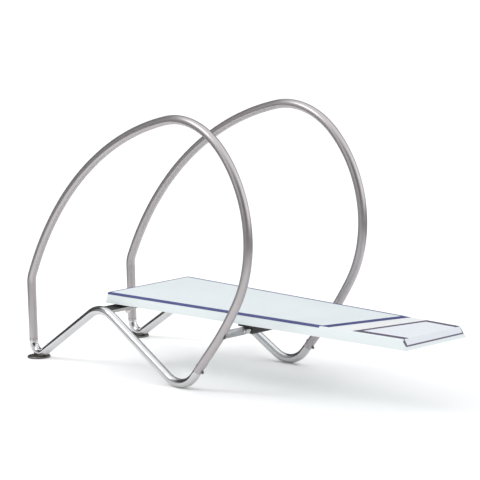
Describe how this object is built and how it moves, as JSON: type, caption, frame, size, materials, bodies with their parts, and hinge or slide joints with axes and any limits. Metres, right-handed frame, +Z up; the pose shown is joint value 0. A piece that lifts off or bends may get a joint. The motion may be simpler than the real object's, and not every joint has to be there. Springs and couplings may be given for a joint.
{
  "type": "diving board",
  "caption": "Low springboard with a tapered moulded board, a rubber-padded front fulcrum and a bent-tube stand whose sides rise into hoop handrails.",
  "frame": {"origin": "on the floor, at the middle of the object's length and width", "axes": "+X towards the tip of the board, +Y to the left of a person walking to the tip, +Z up"},
  "size_m": [2.4471, 0.7938, 1.298],
  "materials": {
    "satin_tube": "satin stainless tube, slightly warm grey",
    "polished_tube": "mirror-polished stainless tube",
    "plain_steel": "plain mill finish",
    "crossbar_steel": "brushed stainless sheet",
    "fastener_steel": "bright stainless fasteners",
    "dark_fastener": "blackened fasteners",
    "foot_metal": "dark cast foot plate",
    "black_rubber": "matt black rubber",
    "black_plastic": "moulded black plastic",
    "white_gelcoat": "glossy white gelcoat over glass fibre",
    "tread_grit": "pale blue-grey gritted non-slip tread",
    "tip_grit": "pale lavender gritted non-slip tread",
    "navy_line": "navy painted line",
    "dark_line": "dark grey-navy painted line",
    "core_wood": "laminated wood core beams"
  },
  "bodies": {
    "stand": {"base_tube_left": "polished_tube", "base_tube_right": "polished_tube", "crossbar_strip": "black_rubber", "foot_disc_left": "foot_metal", "foot_disc_right": "foot_metal", "foot_sole_left": "black_rubber", "foot_sole_right": "black_rubber", "front_joint_bolts": "fastener_steel", "front_joint_nuts": "dark_fastener", "front_spigot_left": "plain_steel", "front_spigot_right": "plain_steel", "fulcrum_pad": "black_rubber", "fulcrum_saddle": "black_plastic", "fulcrum_stub_left": "satin_tube", "fulcrum_stub_right": "satin_tube", "fulcrum_tube": "polished_tube", "hoop_left": "satin_tube", "hoop_right": "satin_tube", "rear_crossbar": "crossbar_steel", "rear_cushions": "black_rubber", "rear_joint_rivets": "dark_fastener", "rear_spigot_left": "plain_steel", "rear_spigot_right": "plain_steel", "saddle_screws": "fastener_steel", "stub_screws": "fastener_steel", "stud_bushes": "black_rubber"},
    "board": {"board_shell": "white_gelcoat", "board_panel": "white_gelcoat", "white_band": "white_gelcoat", "main_tread": "tread_grit", "tip_tread": "tip_grit", "edge_line": "navy_line", "wide_cross_line": "navy_line", "narrow_cross_line": "dark_line", "tip_line": "dark_line", "stringer_left": "core_wood", "stringer_middle": "core_wood", "stringer_right": "core_wood", "anchor_plate": "plain_steel", "board_studs": "fastener_steel", "stud_washers": "fastener_steel", "stud_nuts": "fastener_steel", "locating_block": "black_rubber"}
  },
  "joints": [
    {"name": "board_rock", "type": "hinge", "parent": "stand", "child": "board", "pos_m": [-0.63846, 0, 0.3228], "axis": [0, -1, 0], "range_deg": [0, 2]}
  ]
}
